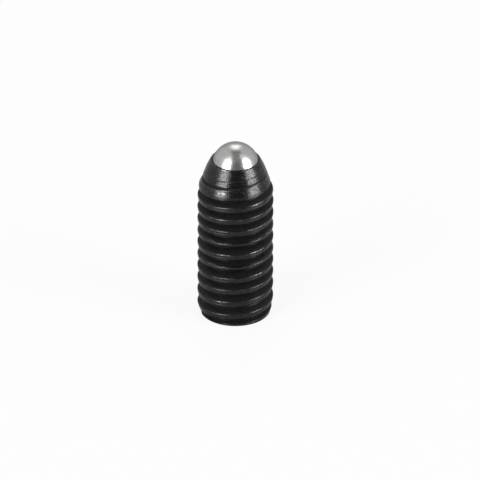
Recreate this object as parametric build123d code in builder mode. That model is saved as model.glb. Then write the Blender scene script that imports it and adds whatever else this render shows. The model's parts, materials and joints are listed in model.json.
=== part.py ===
# Ball-nose spring plunger, M4 x 0.7: a threaded steel body with a domed nose, a ball held in the nose by a
# rolled lip, and the compression spring that pushes the ball out. It stands on its drive end, with the
# origin at the centre of that end face and +Z towards the ball. Millimetres.
import os
from math import asin, ceil, cos, radians, sin, sqrt, tan

from build123d import *

# Threaded body
body_length = 9.0
thread_diameter = 4.0
thread_pitch = 0.7
groove_height_at_x = 0.57  # height of a groove's centre on the +X side
end_face_diameter = 3.66
end_chamfer_length = 0.6

# Domed nose, turned over the last threads
nose_face_diameter = 2.6
nose_length = 2.55
nose_tapers = 5  # short straight cuts that follow the nose's arc

# Ball, and how it is held
ball_diameter = 2.5
ball_projection = 0.89  # how far it stands out of the nose
bore_clearance = 0.03  # on the radius, between ball and bore
lip_clearance = 0.01  # between ball and rolled lip
lip_taper_length = 0.3  # where the rolled lip narrows the bore, just below the ball's middle

# Bore for the spring and the ball, drilled from the nose
bore_floor_height = 4.0
drill_point_angle = 118

# Hexagon socket in the drive end
socket_across_flats = 2.0
socket_depth = 1.8
socket_countersink_diameter = 2.5

# Compression spring at its fitted length: a closed coil at each end, both ends ground flat
wire_diameter = 0.36
active_coils = 4
coil_side_clearance = 0.13  # between the coils and the bore
coil_gap = 0.02  # between a closed coil and the next
spring_end_clearance = 0.01
wire_facets = 8

# The thread: a 60 degree V with a flat root and a flat crest of an eighth of the pitch
thread_radius = thread_diameter / 2
flank_angle = 30
sharp_thread_height = thread_pitch / 2 / tan(radians(flank_angle))
thread_depth = 17 / 24 * sharp_thread_height
crest_width = thread_pitch / 8
root_width = thread_pitch - crest_width - 2 * thread_depth * tan(radians(flank_angle))

# The nose follows an arc that leaves the shank without a corner
nose_drop = thread_radius - nose_face_diameter / 2
nose_arc_radius = (nose_length**2 + nose_drop**2) / (2 * nose_drop)
nose_arc_angle = asin(nose_length / nose_arc_radius)

# Heights and radii that follow from the ball
ball_radius = ball_diameter / 2
ball_height = body_length - ball_radius + ball_projection
bore_radius = ball_radius + bore_clearance
lip_seat_radius = ball_radius + lip_clearance
lip_mouth_radius = sqrt(lip_seat_radius**2 - (body_length - ball_height) ** 2)
drill_point_slope = tan(radians(drill_point_angle / 2))
bore_tip_height = bore_floor_height - bore_radius / drill_point_slope

os.makedirs("parts", exist_ok=True)


# One turn of the tool that cuts the thread. Its V runs on a little past the crests, and then goes straight
# out, so that neighbouring turns don't meet.
tool_overrun = thread_pitch / 40
tool_reach = thread_pitch / 3
tool_start_height = groove_height_at_x - ceil(groove_height_at_x / thread_pitch + 1) * thread_pitch
groove_turns = ceil((body_length - tool_start_height) / thread_pitch + 1)

with BuildPart() as thread_tool:
    with BuildLine() as tool_path:
        Helix(
            pitch=thread_pitch,
            height=thread_pitch,
            radius=thread_radius - thread_depth,
            center=(0, 0, tool_start_height),
        )
    with BuildSketch(Plane.XZ) as tool_section:
        with BuildLine():
            root_half = root_width / 2
            mouth_half = root_half + (thread_depth + tool_overrun) * tan(radians(flank_angle))
            root_radius = thread_radius - thread_depth
            Polyline(
                (root_radius, tool_start_height - root_half),
                (root_radius, tool_start_height + root_half),
                (thread_radius + tool_overrun, tool_start_height + mouth_half),
                (thread_radius + tool_reach, tool_start_height + mouth_half),
                (thread_radius + tool_reach, tool_start_height - mouth_half),
                (thread_radius + tool_overrun, tool_start_height - mouth_half),
                close=True,
            )
        make_face()
    sweep(path=tool_path.line, is_frenet=True)

with BuildPart() as threaded_body:
    # Blank: drive end chamfer, straight shank and domed nose, turned as one profile
    with BuildSketch(Plane.XZ) as blank_profile:
        with BuildLine():
            nose_points = []
            for step in range(nose_tapers + 1):
                angle = nose_arc_angle * step / nose_tapers
                nose_points.append(
                    (
                        thread_radius - nose_arc_radius * (1 - cos(angle)),
                        body_length - nose_length + nose_arc_radius * sin(angle),
                    )
                )
            Polyline(
                (0, 0),
                (end_face_diameter / 2, 0),
                (thread_radius, end_chamfer_length),
                *nose_points,
                (0, body_length),
                close=True,
            )
        make_face()
    revolve(axis=Axis.Z)

    # Right-hand thread over the whole length, running out on the nose
    with Locations(*[(0, 0, turn * thread_pitch) for turn in range(groove_turns)]):
        add(thread_tool.part, mode=Mode.SUBTRACT)

    # Blind bore with a drill point, closing over the ball at the rolled lip
    with BuildSketch(Plane.XZ) as bore_profile:
        with BuildLine():
            lip_start = (lip_seat_radius, ball_height)
            lip_mouth = (lip_mouth_radius, body_length)
            Polyline(
                (0, bore_tip_height),
                (bore_radius, bore_floor_height),
                (bore_radius, ball_height - lip_taper_length),
                lip_start,
            )
            RadiusArc(lip_start, lip_mouth, -lip_seat_radius)
            Polyline(lip_mouth, (0, body_length), (0, bore_tip_height))
        make_face()
    revolve(axis=Axis.Z, mode=Mode.SUBTRACT)

    # Hexagon socket: a countersunk pilot hole with a drill point, then the hexagon
    pilot_radius = socket_across_flats / 2
    countersink_radius = socket_countersink_diameter / 2
    with BuildSketch(Plane.XZ) as pilot_profile:
        with BuildLine():
            Polyline(
                (0, 0),
                (countersink_radius, 0),
                (pilot_radius, countersink_radius - pilot_radius),
                (pilot_radius, socket_depth),
                (0, socket_depth + pilot_radius / drill_point_slope),
                close=True,
            )
        make_face()
    revolve(axis=Axis.Z, mode=Mode.SUBTRACT)
    with BuildSketch(Plane.XY) as socket_section:
        RegularPolygon(radius=pilot_radius, side_count=6, major_radius=False)
    extrude(amount=socket_depth, mode=Mode.SUBTRACT)

threaded_body.part.label = "threaded_body"
export_step(threaded_body.part, "parts/threaded_body.step")


with BuildPart() as detent_ball:
    with Locations((0, 0, ball_height)):
        Sphere(radius=ball_radius)

detent_ball.part.label = "detent_ball"
export_step(detent_ball.part, "parts/detent_ball.step")


# The spring stands on the shoulder of the drill point, and the ball sits in its top coil.
wire_radius = wire_diameter / 2
coil_outer_radius = bore_radius - coil_side_clearance
coil_radius = coil_outer_radius - wire_radius
shoulder_height = bore_floor_height - coil_side_clearance / drill_point_slope
spring_bottom = shoulder_height + spring_end_clearance
ball_contact_drop = sqrt(ball_radius**2 - (coil_radius - wire_radius) ** 2)
spring_top = ball_height - ball_contact_drop - spring_end_clearance
closed_pitch = wire_diameter + coil_gap
active_length = spring_top - spring_bottom - 2 * closed_pitch

with BuildPart() as compression_spring:
    # Wire: one closed coil, the active coils, one closed coil
    with BuildLine() as wire_path:
        Helix(pitch=closed_pitch, height=closed_pitch, radius=coil_radius, center=(0, 0, spring_bottom))
        Helix(
            pitch=active_length / active_coils,
            height=active_length,
            radius=coil_radius,
            center=(0, 0, spring_bottom + closed_pitch),
        )
        Helix(
            pitch=closed_pitch,
            height=closed_pitch,
            radius=coil_radius,
            center=(0, 0, spring_top - closed_pitch),
        )
    with BuildSketch(Plane(origin=wire_path.line @ 0, z_dir=wire_path.line % 0)) as wire_section:
        RegularPolygon(radius=wire_radius, side_count=wire_facets)
    sweep(path=wire_path.line, is_frenet=True)

    # Ground ends
    split(bisect_by=Plane.XY.offset(spring_bottom), keep=Keep.TOP)
    split(bisect_by=Plane.XY.offset(spring_top), keep=Keep.BOTTOM)

compression_spring.part.label = "compression_spring"
export_step(compression_spring.part, "parts/compression_spring.step")
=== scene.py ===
import json
from math import ceil, cos, pi, radians, sin, sqrt, tan

import bpy
import numpy as np
from mathutils import Matrix, Vector


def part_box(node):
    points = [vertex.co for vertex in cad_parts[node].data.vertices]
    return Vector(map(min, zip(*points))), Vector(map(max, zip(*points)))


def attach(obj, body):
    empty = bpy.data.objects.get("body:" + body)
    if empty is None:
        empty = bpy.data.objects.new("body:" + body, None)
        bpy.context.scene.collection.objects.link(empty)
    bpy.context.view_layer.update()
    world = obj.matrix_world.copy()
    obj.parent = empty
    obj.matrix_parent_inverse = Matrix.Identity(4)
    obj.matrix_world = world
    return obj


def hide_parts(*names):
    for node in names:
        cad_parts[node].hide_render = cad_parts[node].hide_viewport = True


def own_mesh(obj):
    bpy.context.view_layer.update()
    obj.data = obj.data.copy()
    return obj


# A ball-nose spring plunger on its drive end, with +Z towards the ball. Lengths are in metres.
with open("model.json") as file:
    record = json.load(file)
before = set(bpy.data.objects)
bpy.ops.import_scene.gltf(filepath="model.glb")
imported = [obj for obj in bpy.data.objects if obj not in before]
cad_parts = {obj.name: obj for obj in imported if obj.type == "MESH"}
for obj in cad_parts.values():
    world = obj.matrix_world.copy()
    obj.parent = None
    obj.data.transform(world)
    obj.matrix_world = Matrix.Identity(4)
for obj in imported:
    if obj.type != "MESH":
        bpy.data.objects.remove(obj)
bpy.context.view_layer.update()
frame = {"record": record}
mm = 0.001
weldDistance = 1e-9
print("frame loaded")


def roundedLower(first, second, rounding):
    # the lower of two values with the corner between them rounded:
    # half of their sum less the root of (their difference squared + rounding squared)
    return (first + second - np.sqrt((first - second) ** 2 + rounding**2)) / 2


def smoothStep(value, start, end):
    # 0 before start, 1 after end, and 3t^2 - 2t^3 between
    part = np.clip((value - start) / (end - start), 0, 1)
    return part * part * (3 - 2 * part)


def riseAndFall(value, rise, fall):
    # smooth steps from 0 up to 1 over the span of rise, and back to 0 over the span of fall
    return smoothStep(value, *rise) * (1 - smoothStep(value, *fall))


def gridTriangles(rows, columns, columnStep=0):
    # two triangles for each cell of a grid that is closed round its columns;
    # past the last column the row moves on by columnStep, as a thread does after each turn
    row, column = np.meshgrid(np.arange(rows - 1), np.arange(columns), indexing="ij")
    following = (column + 1) % columns
    shift = np.where(column == columns - 1, columnStep, 0)
    low, high = np.minimum(row + shift, rows - 1), np.minimum(row + 1 + shift, rows - 1)
    a, b = row * columns + column, low * columns + following
    c, d = high * columns + following, (row + 1) * columns + column
    return np.concatenate([np.stack([a, b, c], -1).reshape(-1, 3), np.stack([a, c, d], -1).reshape(-1, 3)])


def addObject(name, data):
    made = bpy.data.objects.new(name, data)
    bpy.context.scene.collection.objects.link(made)
    return made


def makePiece(name, points, triangles, body, replaced, marks=None, sharpAngle=35):
    # points that fall on one place become one vertex, and triangles that close up are left out
    places = np.round(points / weldDistance).astype(np.int64)
    _, first, index = np.unique(places, axis=0, return_index=True, return_inverse=True)
    triangles = index.reshape(-1)[triangles]
    a, b, c = triangles.T
    triangles = triangles[(a != b) & (b != c) & (c != a)]
    mesh = bpy.data.meshes.new(name)
    mesh.from_pydata(points[first].tolist(), [], triangles.tolist())
    for mark, values in (marks or {}).items():
        mesh.attributes.new(mark, "FLOAT", "POINT").data.foreach_set("value", values[first].astype(np.float32))
    mesh.shade_smooth()
    mesh.set_sharp_from_angle(angle=radians(sharpAngle))
    piece = addObject(name, mesh)
    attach(piece, body)
    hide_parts(replaced)
    print(name, len(points[first]), "points", len(triangles), "triangles")
    return piece


_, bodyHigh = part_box("threaded_body")
ballLow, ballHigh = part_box("detent_ball")
springLow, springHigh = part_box("compression_spring")
ballRadius = (ballHigh[2] - ballLow[2]) / 2
ballHeight = (ballHigh[2] + ballLow[2]) / 2

# Heights on the crest's section are measured from its middle. A run is a pair of places between which
# something comes in or goes out: on the nose they are shares of its length, from its foot to its face.
body = {
    "length": bodyHigh[2],
    "radius": 2.0 * mm,
    "edge": 0.015 * mm,  # bevel of the end faces
    # thread
    "pitch": 0.7 * mm,
    "crestHeight": 0.57 * mm,  # of a crest's middle on the -X side
    "crestTop": 0.085 * mm,  # the crest is flat from here down to crestRidge, and slopes back to crestFoot
    "crestRidge": 0.01 * mm,
    "crestFoot": -0.2 * mm,
    "crestSlope": tan(radians(15)),
    "crestRounding": 0.03 * mm,
    "cornerRounding": 0.018 * mm,
    "rootRounding": 0.1 * mm,
    "flankSlope": 1 / tan(radians(30)),
    "narrowTurns": (5.06, 7.06),  # turns along the thread at which its crest is at its narrowest
    "narrowReach": 0.3,  # of a turn to each side
    "narrowShare": 0.6,
    # seam that rolling leaves on the crest; its depth changes along the thread as a sine
    "seamHeight": -0.06 * mm,
    "seamWidth": 0.09 * mm,
    "seamDepth": 0.014 * mm,
    "seamShare": 0.7,
    "seamChange": 0.3,
    "seamWaves": 3.1,  # radians a turn
    "seamStart": 1.9,
    # first turn, which lies a little low
    "firstDrop": 0.075 * mm,
    "firstRun": (0.6 * mm, 1.9 * mm),
    # last turn, which runs out on the nose: it rises a little faster, its groove gets deeper,
    # and past its end a seam line goes on
    "lastRise": 0.08 * mm,
    "lastRun": (0.3, 0.7),
    "lastGroove": 0.05 * mm,
    "grooveRun": (0.5, 0.68),
    "lineDepth": 1.3,  # in seam depths
    "lineRuns": ((0.58, 0.66), (0.82, 0.9)),
    # domed nose: an arc, a little hollow between the thread and its rim, with the last crest swelling out
    "noseFaceRadius": 1.3 * mm,
    "noseLength": 2.55 * mm,
    "noseHollow": 0.028 * mm,
    "hollowRuns": ((0.35, 0.62), (0.62, 0.95)),
    "crestSwell": 0.045 * mm,
    "swellRuns": ((0.14, 0.32), (0.4, 0.58)),
    "blankRounding": 0.004 * mm,  # where the thread meets the outline that it is cut into
    "noseRounding": 0.006 * mm,  # what the nose adds to that
    "roundingRun": (0, 0.2),
    # drive end
    "endFaceRadius": 1.83 * mm,
    "endTaperLength": 0.6 * mm,
    "socketHalf": 1.0 * mm,
    "socketDepth": 1.8 * mm,
    "countersink": 1.25 * mm,
    # bore
    "boreRadius": 1.28 * mm,
    "boreFloor": 4.0 * mm,
    "seatRadius": 1.26 * mm,
    "lipTaper": 0.3 * mm,
    "drillSlope": tan(radians(59)),
    # finish: it turns dull and darker with painted shade past the crest's edges and below the turned outline,
    # and all through the drive end
    "dullShadeRun": (-0.012 * mm, 0.048 * mm),
    "dullShadeDepthRun": (0.004 * mm, 0.02 * mm),
    "dullShadeEndHeight": 0.0225 * mm,
    "cornerWidth": 0.03 * mm,
    # grid: rows close together over the crest, from rowStart to rowTurn, and wider apart over the root
    "columns": 160,
    "rowStart": -0.25 * mm,
    "rowTurn": 0.11 * mm,
    "rowEnd": 0.45 * mm,
    "closeRows": 31,
    "wideRows": 12,
    "spareTurns": 3,  # beyond each end, where the rows are flattened against the end face
    "seatRows": 12,
    "boreRows": 10,
}


def crestSeam(distance):
    # a groove across which the depth is a squared cosine, seamWidth wide
    across = (distance - body["seamHeight"]) / (body["seamWidth"] / 2)
    return body["seamDepth"] * np.cos(pi / 2 * np.clip(across, -1, 1)) ** 2


def crestDrop(distance, along):
    # how far the surface lies under the crest, at a height above the crest's middle and a number of turns
    # along the thread: the greatest of the crest's slope and the two flanks, with rounded corners, and the
    # seam; round each narrow turn a bell curve draws the crest's edges together
    narrow = sum(np.exp(-(((along - turn) / body["narrowReach"]) ** 2)) for turn in body["narrowTurns"])
    width = 1 - body["narrowShare"] * narrow
    ridge, foot = body["crestRidge"] * width, body["crestFoot"] * width
    above = (distance - body["crestTop"] * width) * body["flankSlope"]
    slope = (ridge - distance) * body["crestSlope"]
    below = (foot - distance) * body["flankSlope"] + (ridge - foot) * body["crestSlope"]
    face = -roundedLower(0, -slope, body["crestRounding"])
    drop = -roundedLower(roundedLower(-face, -below, body["crestRounding"]), -above, body["cornerRounding"])
    seam = body["seamShare"] + body["seamChange"] * np.sin(body["seamWaves"] * along + body["seamStart"])
    return drop + crestSeam(distance) * (1 - narrow) * seam


def threadDrop(distance, along):
    # the crest and its neighbours above and below, with a rounded root where their flanks meet
    pitch = body["pitch"]
    neighbours = np.minimum(crestDrop(distance - pitch, along + 1), crestDrop(distance + pitch, along - 1))
    return roundedLower(crestDrop(distance, along), neighbours, body["rootRounding"])


def noseShare(height):
    # 0 where the nose starts and 1 at its face
    return (height - body["length"] + body["noseLength"]) / body["noseLength"]


def crestDistance(height, turn):
    # height above the middle of the nearest crest: the crests rise by one pitch a turn, lie firstDrop lower
    # at the drive end and lastRise higher at the run-out
    rise = height - body["crestHeight"] - body["pitch"] * (turn - pi) / (2 * pi)
    rise = rise + body["firstDrop"] * (1 - smoothStep(height, *body["firstRun"]))
    rise = rise - body["lastRise"] * smoothStep(noseShare(height), *body["lastRun"])
    return rise - body["pitch"] * np.round(rise / body["pitch"])


def turnedRadius(height, distance):
    # the outline that the thread is cut into, as the least of the end's taper, the shank and the nose; the
    # nose is an arc that leaves the shank without a corner, less its hollow and the seam line, plus the
    # swelling, which follows the crest as the fourth power of a cosine
    drop = body["radius"] - body["noseFaceRadius"]
    arcRadius = (body["noseLength"] ** 2 + drop**2) / (2 * drop)
    share = noseShare(height)
    nose = body["radius"] - arcRadius + np.sqrt(arcRadius**2 - (np.maximum(share, 0) * body["noseLength"]) ** 2)
    hollow = body["noseHollow"] * riseAndFall(share, *body["hollowRuns"])
    wave = np.cos(pi * distance / body["pitch"]) ** 4
    swell = body["crestSwell"] * riseAndFall(share, *body["swellRuns"]) * wave
    line = body["lineDepth"] * crestSeam(distance) * riseAndFall(share, *body["lineRuns"])
    taper = body["endFaceRadius"] + height * (body["radius"] - body["endFaceRadius"]) / body["endTaperLength"]
    return np.minimum(nose - hollow + swell - line, np.minimum(taper, body["radius"]))


def outerRadius(height, turn):
    # the lower of the thread and the turned outline, with the corner between them rounded
    distance, share = crestDistance(height, turn), noseShare(height)
    deeper = body["lastGroove"] * smoothStep(share, *body["grooveRun"])
    thread = body["radius"] - deeper - threadDrop(distance, (height - distance) / body["pitch"])
    rounding = body["blankRounding"] + body["noseRounding"] * smoothStep(share, *body["roundingRun"])
    return roundedLower(thread, turnedRadius(height, distance), rounding)


def makeThreadedBody():
    # the outside is a grid of angle by height whose rows follow the thread, each point at the outer radius;
    # the ends, the socket and the bore are rings of one radius, or of the hexagon's, at one height each
    columns, edge, length = body["columns"], body["edge"], body["length"]
    turn = 2 * pi * np.arange(columns) / columns
    close = np.linspace(body["rowStart"], body["rowTurn"], body["closeRows"])
    wide = np.linspace(body["rowTurn"], body["rowEnd"], body["wideRows"])
    stations = np.concatenate([close, wide[1:-1]])
    turns = np.arange(-body["spareTurns"], ceil(length / body["pitch"]) + body["spareTurns"])
    starts = (turns[:, None] * body["pitch"] + stations[None, :]).reshape(-1)
    starts = starts + body["crestHeight"] - body["pitch"] / 2
    height = np.clip(starts[:, None] + body["pitch"] * turn[None, :] / (2 * pi), edge, length - edge)
    radius = outerRadius(height, turn[None, :])
    points = [np.stack([radius * np.cos(turn), radius * np.sin(turn), height], -1).reshape(-1, 3)]
    triangles = [gridTriangles(len(starts), columns, len(stations))]

    def ring(radius, height):
        radius, height = np.broadcast_to(radius, columns), np.broadcast_to(height, columns)
        return np.stack([radius * np.cos(turn), radius * np.sin(turn), height], -1)

    def addRings(rings):
        before = sum(len(part) for part in points)
        points.append(np.concatenate(rings))
        triangles.append(gridTriangles(len(rings), columns) + before)

    # drive end, from the socket's drill point out to the foot of the thread;
    # the hexagon's radius is its half width over the cosine of the angle from the middle of a side
    sixth = pi / 3
    hexagon = body["socketHalf"] / np.cos(np.mod(turn, sixth) - sixth / 2)
    foot = outerRadius(np.full(columns, edge), turn)
    depth = body["socketDepth"]
    addRings([
        ring(0, depth + body["socketHalf"] / body["drillSlope"]),
        ring(body["socketHalf"], depth),
        ring(hexagon, depth),
        ring(hexagon, depth / 2),
        ring(hexagon, body["countersink"] - hexagon),
        ring(body["countersink"], 0),
        ring(foot - edge, 0),
        ring(foot, edge),
    ])

    # nose face, the lip's seat round the ball, and the bore down to its drill point
    head = outerRadius(np.full(columns, length - edge), turn)
    seat, bore = body["seatRadius"], body["boreRadius"]
    mouth = sqrt(seat**2 - (length - ballHeight) ** 2)
    lean = np.linspace(np.arcsin((length - edge - ballHeight) / seat), 0, body["seatRows"])
    wall = np.linspace(ballHeight - body["lipTaper"], body["boreFloor"], body["boreRows"])
    rings = [ring(head, length - edge), ring(head - edge, length), ring(mouth + edge, length)]
    rings += [ring(seat * cos(angle), ballHeight + seat * sin(angle)) for angle in lean]
    rings += [ring(bore, level) for level in wall]
    rings += [ring(0, body["boreFloor"] - bore / body["drillSlope"])]
    addRings(rings)
    points, triangles = np.concatenate(points), np.concatenate(triangles)

    # marks for the finish: groove is 1 in the thread's groove and at the drive end, where the oxide is darkened
    # with painted shade, and corner is 1 on the crest's upper edge and the nose's rim
    distance = crestDistance(height, turn[None, :])
    above, below = distance - body["crestTop"], body["crestFoot"] - distance
    rim = height - (length - edge)
    # aside and under mark the groove, which gets the dull finish and its painted shade
    aside = smoothStep(np.maximum(above, below), *body["dullShadeRun"])
    under = smoothStep(turnedRadius(height, distance) - radius, *body["dullShadeDepthRun"])
    worn = np.exp(-((above / body["cornerWidth"]) ** 2)) + np.exp(-((rim / body["cornerWidth"]) ** 2))
    groove, corner = np.zeros(len(points)), np.zeros(len(points))
    groove[:height.size], corner[:height.size] = (aside * under).reshape(-1), worn.reshape(-1)
    groove[points[:, 2] < body["dullShadeEndHeight"]] = 1
    marks = {"groove": groove, "corner": corner}
    return makePiece("plungerBody", points, triangles, "casing", "threaded_body", marks)


plungerBody = makeThreadedBody()

ball = {"columns": 128, "rows": 96}


def makeBall():
    # a sphere: latitude by longitude
    rows, columns = ball["rows"] + 1, ball["columns"]
    latitude = np.linspace(-pi / 2, pi / 2, rows)[:, None]
    longitude = 2 * pi * np.arange(columns)[None, :] / columns
    points = np.stack([
        ballRadius * np.cos(latitude) * np.cos(longitude),
        ballRadius * np.cos(latitude) * np.sin(longitude),
        ballHeight + ballRadius * np.sin(latitude) + 0 * longitude,
    ], -1).reshape(-1, 3)
    return makePiece("steelBall", points, gridTriangles(rows, columns), "ball", "detent_ball")


steelBall = makeBall()

spring = {
    "wireRadius": 0.18 * mm,
    "coilRadius": 0.97 * mm,
    "closedPitch": 0.38 * mm,
    "activeCoils": 4,
    "blend": 0.1,  # of a turn to each side, over which the pitch changes
    "around": 18,
    "perCoil": 56,
    "sharpAngle": 50,  # only the ground ends have sharp edges
}


def makeSpring():
    # a circle carried along a helix whose first and last coils are close wound, its ends ground flat;
    # the height is the running sum of the pitch, fitted between bottom and top
    bottom, top = springLow[2], springHigh[2]
    wireRadius, coilRadius = spring["wireRadius"], spring["coilRadius"]
    closedPitch, blend = spring["closedPitch"], spring["blend"]
    coils = spring["activeCoils"] + 2
    steps = coils * spring["perCoil"] + 1
    turns = np.linspace(0, coils, steps)
    activePitch = (top - bottom - 2 * closedPitch) / spring["activeCoils"]
    share = riseAndFall(turns, (1 - blend, 1 + blend), (coils - 1 - blend, coils - 1 + blend))
    pitch = closedPitch + (activePitch - closedPitch) * share
    rise = np.concatenate([[0], np.cumsum((pitch[1:] + pitch[:-1]) / 2 * np.diff(turns))])
    height = bottom + rise * (top - bottom) / rise[-1]
    angle = 2 * pi * turns
    line = np.stack([coilRadius * np.cos(angle), coilRadius * np.sin(angle), height], -1)
    tangent = np.gradient(line, axis=0)
    tangent /= np.linalg.norm(tangent, axis=1, keepdims=True)
    outward = np.stack([np.cos(angle), np.sin(angle), 0 * angle], -1)
    upward = np.cross(tangent, outward)
    upward /= np.linalg.norm(upward, axis=1, keepdims=True)
    around = (2 * pi * np.arange(spring["around"]) / spring["around"])[None, :, None]
    tube = line[:, None] - wireRadius * (np.cos(around) * outward[:, None] + np.sin(around) * upward[:, None])
    ends = [np.repeat(end[:, None], spring["around"], 1) for end in (line[:1], line[-1:])]
    points = np.concatenate([ends[0], tube, ends[1]]).reshape(-1, 3)
    points[:, 2] = np.clip(points[:, 2], bottom, top)
    triangles = gridTriangles(steps + 2, spring["around"])
    return makePiece(
        "coilSpring", points, triangles, "casing", "compression_spring",
        sharpAngle=spring["sharpAngle"],
    )


coilSpring = makeSpring()
joints = frame["record"]["behaviour"]["joints"]
travel = next(joint for joint in joints if joint["name"] == "ball_plunge")["range_m"][1]
springLength = springHigh[2] - springLow[2]
(springLength - travel) / springLength
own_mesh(coilSpring)


# a node's output, with the sums that a finish is mixed from
class Socket:
    def __init__(self, tree, link=None):
        self.tree, self.link = tree, link

    # one node of any kind: settings first (a ramp's stops among them), then its sockets' values or links
    def node(self, kind, settings=None, sockets=None, output=0):
        made = self.tree.nodes.new(kind)
        for name, value in (settings or {}).items():
            if name == "stops":
                ramp = made.color_ramp
                while len(ramp.elements) < len(value):
                    ramp.elements.new(0.5)
                for element, (place, colour) in zip(ramp.elements, value):
                    element.position, element.color = place, colour
            else:
                setattr(made, name, value)
        for name, value in (sockets or {}).items():
            if isinstance(value, Socket):
                self.tree.links.new(value.link, made.inputs[name])
            else:
                made.inputs[name].default_value = value
        return Socket(self.tree, made.outputs[output] if made.outputs else None)

    def maths(self, operation, first, second):
        return self.node("ShaderNodeMath", {"operation": operation}, {0: first, 1: second})

    def __add__(self, other):
        return self.maths("ADD", self, other)

    __radd__ = __add__

    def __sub__(self, other):
        return self.maths("SUBTRACT", self, other)

    def __rsub__(self, other):
        return self.maths("SUBTRACT", other, self)

    def __mul__(self, other):
        return self.maths("MULTIPLY", self, other)

    __rmul__ = __mul__

    # 0 below start and 1 above end
    def between(self, start, end):
        return self.node(
            "ShaderNodeMapRange", {"interpolation_type": "SMOOTHSTEP"},
            {"Value": self, "From Min": start, "From Max": end, "To Min": 0.0, "To Max": 1.0},
        )

    # noise between 0 and 1, finer with a higher scale
    def noise(self, scale, detail, roughness=0.5):
        sockets = {"Vector": self, "Scale": scale, "Detail": detail, "Roughness": roughness}
        return self.node("ShaderNodeTexNoise", {}, sockets)

    # the colour at this value on a ramp from a first stop to a last
    def ramp(self, *stops):
        return self.node("ShaderNodeValToRGB", {"stops": stops}, {"Fac": self})


def newMaterial(name):
    material = bpy.data.materials.new(name)
    material.use_nodes = True
    material.node_tree.nodes.clear()
    return material, Socket(material.node_tree)


def objectPlace(graph):
    # where a point lies in the part's frame, in metres
    return graph.node("ShaderNodeTexCoord", output=3)


def markOf(graph, name):
    # the number that the mesh holds under this name
    return graph.node("ShaderNodeAttribute", {"attribute_name": name}, output=2)


def greyOf(tone):
    return (tone, tone, tone, 1)


oxide = {
    "grainScale": 9500.0,
    "patchScale": 1500.0,
    "lineScale": (500.0, 500.0, 12000.0),  # long round the axis and fine along it
    "bumpHeight": 0.012 * mm,
    "grainBump": 0.8,  # next to the lines' 1
    "noseRun": (6.3 * mm, 7.0 * mm),  # heights over which the thread's finish turns into the nose's
    "middle": 0.46,  # of the mottling, between the dark and the pale stop
    "grainShare": 0.3,
    "noseGrainShare": 0.1,
    "noseLineShare": 0.15,
    "dark": (0.35, (0.022, 0.0223, 0.023, 1)),
    "pale": (0.62, (0.1, 0.099, 0.097, 1)),
    "worn": (0.2, 0.197, 0.19, 1),
    # specks come in over these spans of the patches' and the grain's noise
    "wornPatches": (0.5, 0.6),
    "wornGrain": (0.4, 0.6),
    "roughness": 0.12,
    "patchRoughness": 0.14,
    "grainRoughness": 0.06,
    # the groove's finish: rougher, with a darker colour and a weaker reflection that are painted shade
    "shadedGrooveDark": (0.35, (0.016, 0.016, 0.0165, 1)),
    "shadedGroovePale": (0.65, (0.026, 0.0255, 0.025, 1)),
    "dullMetallic": 0.7,
    "shadedGrooveTint": 0.5,
    "shadedGrooveSpecular": 0.2,
    "dullRoughness": 0.3,
    "dullGrainRoughness": 0.2,
}


def blackOxide():
    # oiled black oxide: smooth and faintly mirror-like where it was turned, dull in the thread's groove and
    # darkened there with painted shade, with fine grain, faint turned lines round the axis, and specks worn
    # bright along the crest's upper corner and the rim
    material, graph = newMaterial("blackOxide")
    place = objectPlace(graph)
    groove, corner = markOf(graph, "groove"), markOf(graph, "corner")
    grain = place.noise(oxide["grainScale"], detail=2.0, roughness=0.6)
    patches = place.noise(oxide["patchScale"], detail=3.0, roughness=0.6)
    stretched = graph.node("ShaderNodeMapping", {}, {"Vector": place, "Scale": oxide["lineScale"]})
    lines = stretched.noise(1.0, detail=2.0, roughness=0.6)
    relief = grain * oxide["grainBump"] + lines
    bump = graph.node("ShaderNodeBump", {}, {
        "Strength": 1.0, "Distance": oxide["bumpHeight"], "Height": relief,
    })

    # grain mottles it all, and on the nose a little more grain and the lines are added
    nose = graph.node("ShaderNodeSeparateXYZ", {}, {0: place}, output=2).between(*oxide["noseRun"])
    grainShare = oxide["grainShare"] + oxide["noseGrainShare"] * nose
    mottling = oxide["middle"] + (grain - 0.5) * grainShare + (lines - 0.5) * (oxide["noseLineShare"] * nose)
    specks = (corner * patches.between(*oxide["wornPatches"])) * grain.between(*oxide["wornGrain"])
    # sockets 6 and 7 are the two colours of a Mix node
    colours = {"Factor": specks, 6: mottling.ramp(oxide["dark"], oxide["pale"]), 7: oxide["worn"]}
    smooth = graph.node("ShaderNodeBsdfPrincipled", {}, {
        "Base Color": graph.node("ShaderNodeMix", {"data_type": "RGBA"}, colours, output=2),
        "Metallic": 1.0,
        "Roughness": oxide["roughness"] + oxide["patchRoughness"] * patches + oxide["grainRoughness"] * grain,
        "Normal": bump,
    })
    # groove and drive end: a dull finish whose darker colour and weaker reflection paint shade there
    dullShadedFinish = graph.node("ShaderNodeBsdfPrincipled", {}, {
        "Base Color": grain.ramp(oxide["shadedGrooveDark"], oxide["shadedGroovePale"]),
        "Metallic": oxide["dullMetallic"],
        "Specular Tint": greyOf(oxide["shadedGrooveTint"]),
        "Specular IOR Level": oxide["shadedGrooveSpecular"],
        "Roughness": oxide["dullRoughness"] + oxide["dullGrainRoughness"] * grain,
        "Normal": bump,
    })
    # the groove mark mixes in the dull finish with its painted shade
    surface = graph.node("ShaderNodeMixShader", {}, {0: groove, 1: smooth, 2: dullShadedFinish})
    graph.node("ShaderNodeOutputMaterial", {}, {"Surface": surface})
    return material


satin = {
    "grainScale": 11000.0,
    "patchScale": 1000.0,
    "grainShare": 0.6,
    "patchShare": 0.4,
    "dark": (0.35, (0.48, 0.48, 0.48, 1)),
    "pale": (0.65, (0.62, 0.617, 0.605, 1)),
    "edgeTint": 0.57,  # holds back the brightness of glancing reflections
    "roughness": 0.2,
    "grainRoughness": 0.1,
    "bumpStrength": 0.4,
    "bumpHeight": 0.006 * mm,
}


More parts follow.
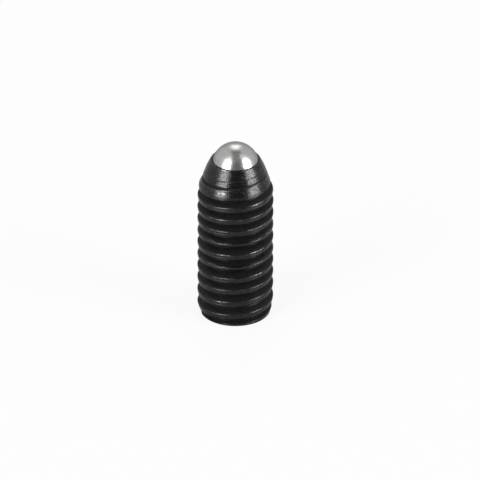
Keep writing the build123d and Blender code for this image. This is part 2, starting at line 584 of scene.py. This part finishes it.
def satinSteel():
    # bearing steel, tumbled to a satin finish: pale, with an even fine grain
    material, graph = newMaterial("satinSteel")
    place = objectPlace(graph)
    grain = place.noise(satin["grainScale"], detail=2.0, roughness=0.6)
    patches = place.noise(satin["patchScale"], detail=4.0)
    relief = {"Strength": satin["bumpStrength"], "Distance": satin["bumpHeight"], "Height": grain}
    mottling = patches * satin["patchShare"] + grain * satin["grainShare"]
    steel = graph.node("ShaderNodeBsdfPrincipled", {}, {
        "Base Color": mottling.ramp(satin["dark"], satin["pale"]),
        "Metallic": 1.0,
        "Specular Tint": greyOf(satin["edgeTint"]),
        "Roughness": satin["roughness"] + satin["grainRoughness"] * grain,
        "Normal": graph.node("ShaderNodeBump", {}, relief),
    })
    graph.node("ShaderNodeOutputMaterial", {}, {"Surface": steel})
    return material


bright = {
    "grainScale": 9000.0,
    "dark": (0.3, (0.36, 0.36, 0.36, 1)),
    "pale": (0.7, (0.5, 0.5, 0.49, 1)),
    "roughness": 0.2,
    "grainRoughness": 0.15,
}


def drawnWire():
    # spring wire, bright with darker drawing marks
    material, graph = newMaterial("drawnWire")
    grain = objectPlace(graph).noise(bright["grainScale"], detail=3.0)
    steel = graph.node("ShaderNodeBsdfPrincipled", {}, {
        "Base Color": grain.ramp(bright["dark"], bright["pale"]),
        "Metallic": 1.0,
        "Roughness": bright["roughness"] + bright["grainRoughness"] * grain,
    })
    graph.node("ShaderNodeOutputMaterial", {}, {"Surface": steel})
    return material


plungerBody.data.materials.append(blackOxide())
steelBall.data.materials.append(satinSteel())
coilSpring.data.materials.append(drawnWire())
print("materials made")

studio = {
    "floorSize": 3.0,
    "floorTone": 0.8,
    "floorWhite": 0.88,  # share of plain white in the floor that the camera sees; the rest keeps the shadow
    "tableTone": 0.5,
    "tableRoughness": 0.3,
    "tableSpecular": 0.45,
    "backgroundGlow": 1.0,
    "fill": 0.45,
    "softboxDistance": 0.4,
    "flatDistance": 1.0,
    # upright panels: name, azimuth from the camera's side (plus is to the right), width, lower and upper
    # edge, all in degrees as seen from the object, and brightness
    "softboxes": [
        ("left", -46, 31, 2, 46, 6.6),
        ("right", 64, 33, 2, 41, 6.6),
    ],
    "flats": [
        ("front", 9, 74, 0, 76, 0.145),
        ("leftSide", -112, 88, 0, 78, 0.66),
        ("rightSide", 122, 72, 0, 78, 0.66),
        ("backPanel", 180, 36, 37, 66, 2.0),
        ("backLow", 180, 58, 0, 36, 0.6),
    ],
    "ceiling": {"left": -0.3, "right": 0.36, "front": -0.9, "back": 0.3, "height": 1.0, "tone": 0.26},
}


def rayKinds(graph):
    # camera, mirror and glass rays, each 1 where it is one
    path = graph.node("ShaderNodeLightPath").link.node
    kinds = ("Is Camera Ray", "Is Glossy Ray", "Is Transmission Ray")
    return [Socket(graph.tree, path.outputs[kind]) for kind in kinds]


def whiteGlow(graph, kind, strength):
    return graph.node(kind, {}, {"Color": greyOf(1), "Strength": strength})


def makePanel(name, corners, material):
    mesh = bpy.data.meshes.new(name)
    mesh.from_pydata(corners, [], [(0, 1, 2, 3)])
    mesh.materials.append(material)
    return addObject(name, mesh)


def makeFloor():
    half = studio["floorSize"] / 2
    material, graph = newMaterial("paleFloor")
    # the camera sees a white floor that keeps some of the object's shadow, and metal sees a glossy table
    camera, mirror, glass = rayKinds(graph)
    matt = graph.node("ShaderNodeBsdfDiffuse", {}, {"Color": greyOf(studio["floorTone"])})
    glow = whiteGlow(graph, "ShaderNodeEmission", studio["backgroundGlow"])
    seen = camera.maths("MAXIMUM", camera, glass)
    white = graph.node("ShaderNodeMixShader", {}, {0: seen * studio["floorWhite"], 1: matt, 2: glow})
    table = graph.node("ShaderNodeBsdfPrincipled", {}, {
        "Base Color": greyOf(studio["tableTone"]),
        "Roughness": studio["tableRoughness"],
        "Specular IOR Level": studio["tableSpecular"],
    })
    surface = graph.node("ShaderNodeMixShader", {}, {0: mirror, 1: white, 2: table})
    graph.node("ShaderNodeOutputMaterial", {}, {"Surface": surface})
    corners = [(-half, -half, 0), (half, -half, 0), (half, half, 0), (-half, half, 0)]
    floor = makePanel("floor", corners, material)


def makeWorld():
    # white where it is seen, directly or in metal and glass, and a dim fill as a light
    world = bpy.data.worlds.new("studioWorld")
    bpy.context.scene.world = world
    world.use_nodes = True
    world.node_tree.nodes.clear()
    graph = Socket(world.node_tree)
    camera, mirror, glass = rayKinds(graph)
    seen = camera.maths("MAXIMUM", camera, mirror.maths("MAXIMUM", mirror, glass))
    strength = seen * (studio["backgroundGlow"] - studio["fill"]) + studio["fill"]
    glow = whiteGlow(graph, "ShaderNodeBackground", strength)
    graph.node("ShaderNodeOutputWorld", {}, {"Surface": glow})


def upright(azimuth, span, lowest, highest, distance):
    # centre, facing direction, width and height of an upright panel: each edge lies at the distance times
    # the tangent of its angle as seen from the object
    turn = radians(azimuth)
    low, high = distance * tan(radians(lowest)), distance * tan(radians(highest))
    towards = Vector((-sin(turn), cos(turn), 0))
    centre = Vector((0, 0, (low + high) / 2)) - towards * distance
    return centre, towards, 2 * distance * tan(radians(span / 2)), high - low


def makeSoftbox(name, azimuth, span, lowest, highest, brightness):
    centre, towards, width, height = upright(azimuth, span, lowest, highest, studio["softboxDistance"])
    lamp = bpy.data.lights.new(name, "AREA")
    lamp.shape, lamp.size, lamp.size_y = "RECTANGLE", width, height
    lamp.energy = brightness * pi * width * height
    box = addObject(name, lamp)
    box.location = centre
    box.rotation_mode = "QUATERNION"
    box.rotation_quaternion = towards.to_track_quat("-Z", "Y")
    box.visible_camera = False


def makeFlat(name, corners, tone):
    # a plain panel of one tone for the metal to show, out of the camera's sight and with no shadow
    material, graph = newMaterial(name)
    graph.node("ShaderNodeOutputMaterial", {}, {"Surface": whiteGlow(graph, "ShaderNodeEmission", tone)})
    card = makePanel(name, corners, material)
    card.visible_camera = False
    card.visible_shadow = False


def makeUprightFlat(name, azimuth, span, lowest, highest, tone):
    centre, towards, width, height = upright(azimuth, span, lowest, highest, studio["flatDistance"])
    side = towards.cross(Vector((0, 0, 1))) * width / 2
    rise = Vector((0, 0, height / 2))
    low, high = centre - rise, centre + rise
    makeFlat(name, [low - side, low + side, high + side, high - side], tone)


def makeLevelFlat(name):
    left, right, front, back, height, tone = studio[name].values()
    corners = [(left, front), (right, front), (right, back), (left, back)]
    makeFlat(name, [(x, y, height) for x, y in corners], tone)


makeFloor()
makeWorld()
for row in studio["softboxes"]:
    makeSoftbox(*row)
for row in studio["flats"]:
    makeUprightFlat(*row)
makeLevelFlat("ceiling")
print("stage lit")

shot = {
    "elevation": 29.4,
    "roll": 0.12,
    "frameWidth": 25.21 * mm,  # at the object
    "distance": 700 * mm,
    "aimRight": 0.243 * mm,
    "aimUp": 3.622 * mm,
    "sensorWidth": 36,
    "clip": (0.05, 10),
}


def makeCamera():
    # a long lens: its length is the sensor's width times the distance over the frame's width
    elevation = radians(shot["elevation"])
    back = Vector((0, -cos(elevation), sin(elevation)))
    right = Vector((1, 0, 0))
    up = back.cross(right)
    data = bpy.data.cameras.new("camera")
    data.sensor_width = shot["sensorWidth"]
    data.lens = data.sensor_width * shot["distance"] / shot["frameWidth"]
    data.clip_start, data.clip_end = shot["clip"]
    camera = addObject("camera", data)
    camera.location = right * shot["aimRight"] + up * shot["aimUp"] + back * shot["distance"]
    roll = Matrix.Rotation(radians(shot["roll"]), 3, back).to_quaternion()
    camera.rotation_mode = "QUATERNION"
    camera.rotation_quaternion = roll @ (-back).to_track_quat("-Z", "Y")
    bpy.context.scene.camera = camera


makeCamera()
bpy.context.scene.view_settings.view_transform = "Standard"
print("camera set")
